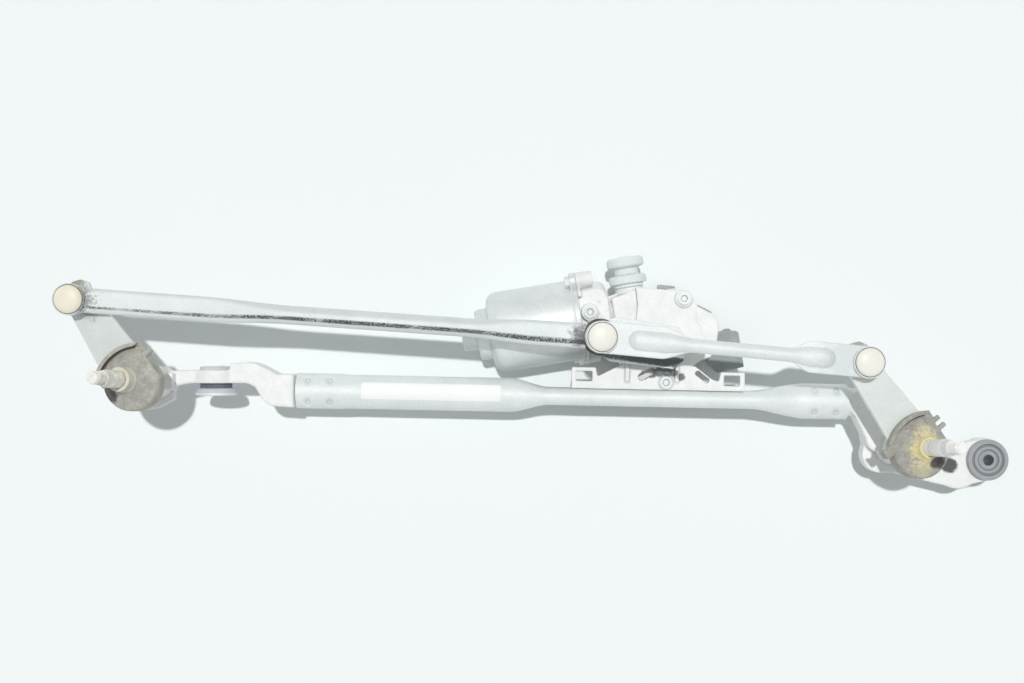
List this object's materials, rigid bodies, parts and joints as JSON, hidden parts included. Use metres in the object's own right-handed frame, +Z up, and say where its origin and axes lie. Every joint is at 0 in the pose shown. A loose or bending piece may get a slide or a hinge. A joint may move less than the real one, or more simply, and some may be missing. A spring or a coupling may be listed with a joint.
{
  "type": "windscreen wiper linkage",
  "caption": "Windscreen wiper linkage: tube frame with cast pivot holders, a gear motor with crank, and drive links to the wiper shaft levers.",
  "frame": {"origin": "middle of the right mount's bolt bore, on its axis", "axes": "+X along the frame from the left wiper shaft to the right mount, +Z up along the right mount's bore, +Y from the frame tube towards the motor"},
  "size_m": [0.7263, 0.1822, 0.1496],
  "materials": {
    "zinc_steel": "dull zinc plating",
    "lever_steel": "flat zinc plating, slightly grained",
    "bright_steel": "ground",
    "shaft_steel": "worn plating",
    "dark_steel": "dull",
    "can_steel": "drawn sheet, satin",
    "cast_metal": "as cast",
    "ivory_plastic": "semi gloss",
    "cap_plastic": "dusty",
    "black_plastic": "fine grain",
    "brown_plastic": "moulded",
    "mount_rubber": "dull",
    "bronze": "sintered",
    "contact_metal": "bright",
    "magnet": "ferrite",
    "carbon": "carbon",
    "winding": "steel stack with windings"
  },
  "bodies": {
    "frame": {"frame_tube": "zinc_steel", "left_pivot_holder": "cast_metal", "right_pivot_holder": "cast_metal", "left_bushes": "bronze", "right_bushes": "bronze", "left_mount_grommet": "mount_rubber", "left_mount_sleeve": "zinc_steel", "right_mount_grommet": "mount_rubber", "right_mount_sleeve": "zinc_steel", "motor_can": "can_steel", "field_magnets": "magnet", "end_bearing": "bronze", "brush_carrier": "brown_plastic", "brushes": "carbon", "can_screws": "zinc_steel", "gear_housing": "cast_metal", "gear_cover": "black_plastic", "connector": "black_plastic", "connector_pins": "contact_metal", "output_bush": "bronze", "motor_carrier": "cast_metal", "carrier_bolt_set": "zinc_steel", "motor_mount_rubber": "mount_rubber"},
    "crank": {"crank_arm": "dark_steel", "crank_stud": "bright_steel", "crank_nut": "dark_steel", "output_shaft": "bright_steel", "worm_wheel": "ivory_plastic"},
    "armature": {"worm_shaft": "bright_steel", "rotor_core": "winding", "commutator": "bronze"},
    "left_wiper_lever": {"left_lever": "lever_steel", "left_shaft": "shaft_steel", "left_cap": "cap_plastic", "left_washers": "bright_steel", "left_circlip": "dark_steel", "left_stud_rivet": "bright_steel"},
    "right_wiper_lever": {"right_lever": "lever_steel", "right_shaft": "shaft_steel", "right_cap": "cap_plastic", "right_washers": "bright_steel", "right_circlip": "dark_steel", "right_stud_rivet": "bright_steel"},
    "left_drive_link": {"left_link": "zinc_steel", "left_lever_socket": "ivory_plastic", "left_crank_socket": "ivory_plastic", "left_ball_stud": "bright_steel"},
    "right_drive_link": {"right_link": "zinc_steel", "right_lever_socket": "ivory_plastic", "right_crank_socket": "ivory_plastic", "right_ball_stud": "bright_steel"}
  },
  "joints": [
    {"name": "crank_turn", "type": "hinge", "parent": "frame", "child": "crank", "pos_m": [-0.256, 0.0886, 0.033], "axis": [0, 0, -1], "range_deg": [0, 180]},
    {"name": "armature_spin", "type": "hinge", "parent": "frame", "child": "armature", "pos_m": [-0.26069, 0.11823, -0.001], "axis": [0.9877, 0.1564, 0], "continuous": true},
    {"name": "left_lever_swing", "type": "hinge", "parent": "frame", "child": "left_wiper_lever", "pos_m": [-0.6514, 0.0632, 0.0595], "axis": [0.2246, -0.0595, -0.9726], "range_deg": [0, 83.23]},
    {"name": "right_lever_swing", "type": "hinge", "parent": "frame", "child": "right_wiper_lever", "pos_m": [-0.0636, 0.0123, 0.0505], "axis": [-0.2329, -0.0712, -0.9699], "range_deg": [0, 75.25]},
    {"name": "left_link_pivot", "type": "hinge", "parent": "crank", "child": "left_drive_link", "pos_m": [-0.30353, 0.09528, 0.0555], "axis": [-0.0286, 0.0023, 0.9996], "range_deg": [0, 179.12]},
    {"name": "right_link_pivot", "type": "hinge", "parent": "crank", "child": "right_drive_link", "pos_m": [-0.30353, 0.09528, 0.0735], "axis": [-0.0571, 0.0037, 0.9984], "range_deg": [0, 183.34]}
  ],
  "couplings": [
    {"joint": "armature_spin", "follows": "crank_turn", "ratio": -50},
    {"joint": "left_lever_swing", "follows": "crank_turn", "ratio": 0.46233},
    {"joint": "right_lever_swing", "follows": "crank_turn", "ratio": 0.418},
    {"joint": "left_link_pivot", "follows": "crank_turn", "ratio": 0.99504},
    {"joint": "right_link_pivot", "follows": "crank_turn", "ratio": 1.0185}
  ]
}
